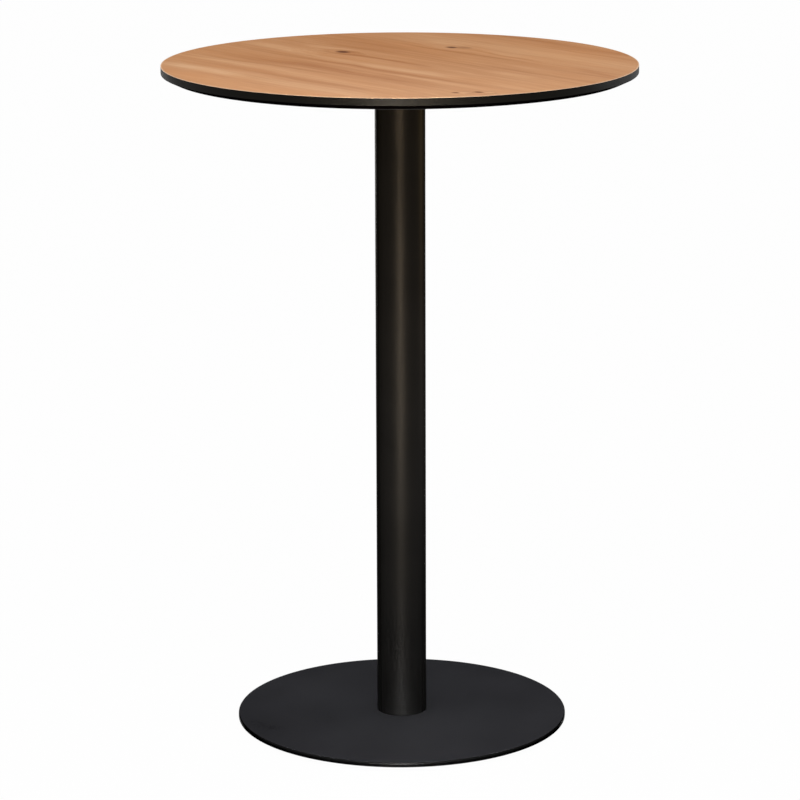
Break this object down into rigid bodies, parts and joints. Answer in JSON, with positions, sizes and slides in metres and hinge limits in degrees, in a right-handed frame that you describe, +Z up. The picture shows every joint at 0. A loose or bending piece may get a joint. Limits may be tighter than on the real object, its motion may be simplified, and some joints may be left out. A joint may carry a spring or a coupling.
{
  "type": "bar table",
  "caption": "Standing-height round table: wood-faced top with a black bevelled edge on a cast cross, a straight black steel column and a flat round base with levelling feet.",
  "frame": {"origin": "on the floor under the centre of the base, feet screwed in", "axes": "+Z up along the column, +Y away from the picture's camera, +X to the picture's right"},
  "size_m": [0.7499, 0.75, 1.08],
  "materials": {
    "wood_decor": "matt wood decor laminate, oak brown",
    "black_board": "core board with black lacquered edge",
    "backing": "matt black backing laminate",
    "column_paint": "matt black powder coat on steel tube",
    "base_paint": "matt black powder coat on steel plate",
    "cast_black": "black painted casting",
    "raw_steel": "plain mild steel",
    "zinc_steel": "bright zinc plated",
    "black_screw": "black zinc plated",
    "foot_plastic": "black moulded plastic"
  },
  "bodies": {
    "table": {"top_face_laminate": "wood_decor", "top_core": "black_board", "top_backing_laminate": "backing", "support_cross": "cast_black", "cross_screws": "black_screw", "column_bolts": "black_screw", "column_head_disc": "raw_steel", "column_tube": "column_paint", "column_foot_disc": "raw_steel", "base_plate": "base_paint"},
    "foot_pad_front_left": {"foot_pad_front_left": "foot_plastic"},
    "foot_stud_front_left": {"foot_stud_front_left": "zinc_steel"},
    "foot_pad_front_right": {"foot_pad_front_right": "foot_plastic"},
    "foot_stud_front_right": {"foot_stud_front_right": "zinc_steel"},
    "foot_pad_rear_left": {"foot_pad_rear_left": "foot_plastic"},
    "foot_stud_rear_left": {"foot_stud_rear_left": "zinc_steel"},
    "foot_pad_rear_right": {"foot_pad_rear_right": "foot_plastic"},
    "foot_stud_rear_right": {"foot_stud_rear_right": "zinc_steel"}
  },
  "joints": [
    {"name": "foot_travel_front_left", "type": "slide", "parent": "table", "child": "foot_pad_front_left", "axis": [0, 0, -1], "range_m": [0, 0.0025]},
    {"name": "foot_turn_front_left", "type": "hinge", "parent": "foot_pad_front_left", "child": "foot_stud_front_left", "pos_m": [-0.16087, -0.16087, 0.0045], "axis": [0, 0, -1], "range_deg": [0, 720]},
    {"name": "foot_travel_front_right", "type": "slide", "parent": "table", "child": "foot_pad_front_right", "axis": [0, 0, -1], "range_m": [0, 0.0025]},
    {"name": "foot_turn_front_right", "type": "hinge", "parent": "foot_pad_front_right", "child": "foot_stud_front_right", "pos_m": [0.16087, -0.16087, 0.0045], "axis": [0, 0, -1], "range_deg": [0, 720]},
    {"name": "foot_travel_rear_left", "type": "slide", "parent": "table", "child": "foot_pad_rear_left", "axis": [0, 0, -1], "range_m": [0, 0.0025]},
    {"name": "foot_turn_rear_left", "type": "hinge", "parent": "foot_pad_rear_left", "child": "foot_stud_rear_left", "pos_m": [-0.16087, 0.16087, 0.0045], "axis": [0, 0, -1], "range_deg": [0, 720]},
    {"name": "foot_travel_rear_right", "type": "slide", "parent": "table", "child": "foot_pad_rear_right", "axis": [0, 0, -1], "range_m": [0, 0.0025]},
    {"name": "foot_turn_rear_right", "type": "hinge", "parent": "foot_pad_rear_right", "child": "foot_stud_rear_right", "pos_m": [0.16087, 0.16087, 0.0045], "axis": [0, 0, -1], "range_deg": [0, 720]}
  ],
  "couplings": [
    {"joint": "foot_turn_front_left", "follows": "foot_travel_front_left", "rad_per_m": 5026.5},
    {"joint": "foot_turn_front_right", "follows": "foot_travel_front_right", "rad_per_m": 5026.5},
    {"joint": "foot_turn_rear_left", "follows": "foot_travel_rear_left", "rad_per_m": 5026.5},
    {"joint": "foot_turn_rear_right", "follows": "foot_travel_rear_right", "rad_per_m": 5026.5}
  ]
}
